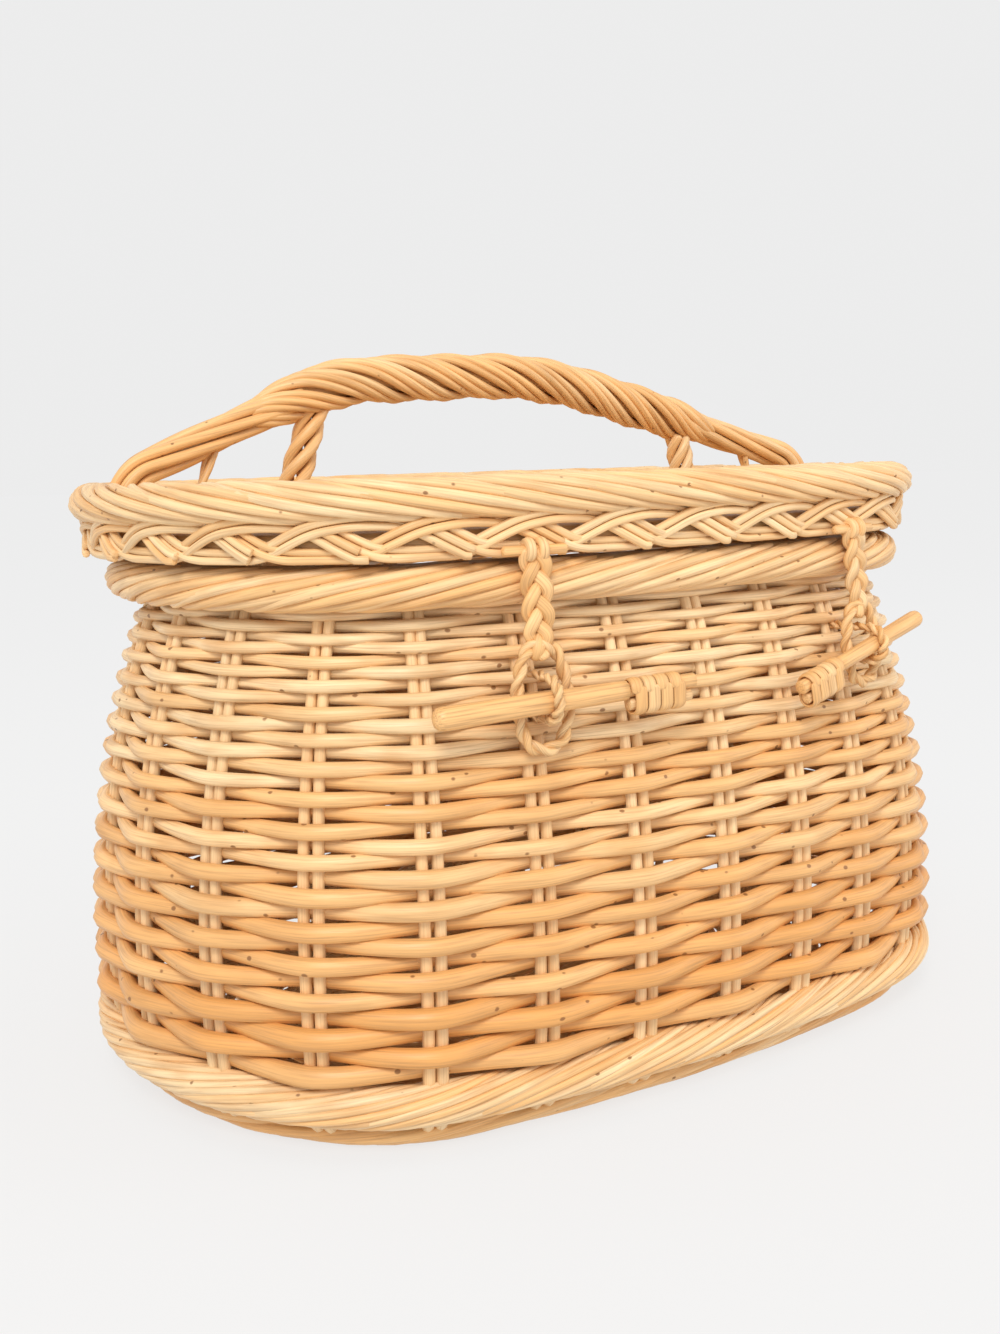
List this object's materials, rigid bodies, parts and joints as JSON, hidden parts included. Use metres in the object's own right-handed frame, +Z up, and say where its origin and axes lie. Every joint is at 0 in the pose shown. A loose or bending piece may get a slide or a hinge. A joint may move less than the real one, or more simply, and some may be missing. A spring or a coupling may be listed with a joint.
{
  "type": "lidded wicker basket",
  "caption": "Oval barrel-shaped willow basket with a hinged woven lid, a twisted bow handle on the lid, and two braided hasps held shut by wooden pegs.",
  "frame": {"origin": "middle of the basket on the ground it stands on", "axes": "+X along the basket to the right seen from the front, -Y towards the front with the hasps and pegs, +Z up"},
  "size_m": [0.392, 0.2893, 0.2927],
  "materials": {
    "siding_willow": "peeled willow, satin, paler towards the top",
    "stake_willow": "pale peeled willow, satin",
    "base_willow": "peeled willow, satin",
    "border_willow": "pale peeled willow, satin",
    "handle_willow": "tan willow, satin with handling sheen",
    "skein_willow": "split willow skein, satin",
    "peg_wood": "whittled wood, satin"
  },
  "bodies": {
    "basket": {"base_cross_sticks": "base_willow", "base_edge_wale": "base_willow", "base_long_sticks": "base_willow", "base_weave": "base_willow", "body_rim_border": "border_willow", "left_hinge_loop": "skein_willow", "left_staple": "skein_willow", "right_hinge_loop": "skein_willow", "right_staple": "skein_willow", "side_stakes_back": "stake_willow", "side_stakes_front": "stake_willow", "side_stakes_left_end": "stake_willow", "side_stakes_right_end": "stake_willow", "siding_belly": "siding_willow", "siding_lower": "siding_willow", "siding_neck": "siding_willow", "siding_upper": "siding_willow", "upsett_wale": "base_willow"},
    "lid": {"handle_core_bow": "handle_willow", "handle_left_inner_leg": "handle_willow", "handle_left_leg_bundle": "handle_willow", "handle_left_side_rod": "handle_willow", "handle_right_inner_leg": "handle_willow", "handle_right_leg_bundle": "handle_willow", "handle_right_side_rod": "handle_willow", "handle_rope": "handle_willow", "left_hasp_pin": "skein_willow", "left_hinge_rod": "border_willow", "lid_cross_sticks": "border_willow", "lid_long_sticks": "border_willow", "lid_plait_border": "border_willow", "lid_rope_border": "border_willow", "lid_weave": "border_willow", "right_hasp_pin": "skein_willow", "right_hinge_rod": "border_willow"},
    "left_hasp": {"left_hasp_braid": "skein_willow", "left_hasp_eye": "skein_willow"},
    "right_hasp": {"right_hasp_braid": "skein_willow", "right_hasp_eye": "skein_willow"},
    "left_peg": {"left_peg": "peg_wood", "left_peg_binding": "skein_willow", "left_peg_splint": "peg_wood"},
    "right_peg": {"right_peg": "peg_wood", "right_peg_binding": "skein_willow", "right_peg_splint": "peg_wood"}
  },
  "joints": [
    {"name": "lid_hinge", "type": "hinge", "parent": "basket", "child": "lid", "pos_m": [0, 0.13, 0.20825], "axis": [-1, 0, 0], "range_deg": [0, 105]},
    {"name": "left_hasp_swing", "type": "hinge", "parent": "lid", "child": "left_hasp", "pos_m": [-0.07339, -0.12446, 0.211], "axis": [-0.9924, 0.1233, 0], "range_deg": [0, 104]},
    {"name": "left_peg_slide", "type": "slide", "parent": "basket", "child": "left_peg", "axis": [-0.9914, 0.1231, -0.0436], "range_m": [-0.05, 0]},
    {"name": "right_hasp_swing", "type": "hinge", "parent": "lid", "child": "right_hasp", "pos_m": [0.08891, -0.12233, 0.211], "axis": [-0.9888, -0.1493, 0], "range_deg": [0, 104]},
    {"name": "right_peg_slide", "type": "slide", "parent": "basket", "child": "right_peg", "axis": [-0.9594, -0.1449, -0.2419], "range_m": [0, 0.045]}
  ]
}
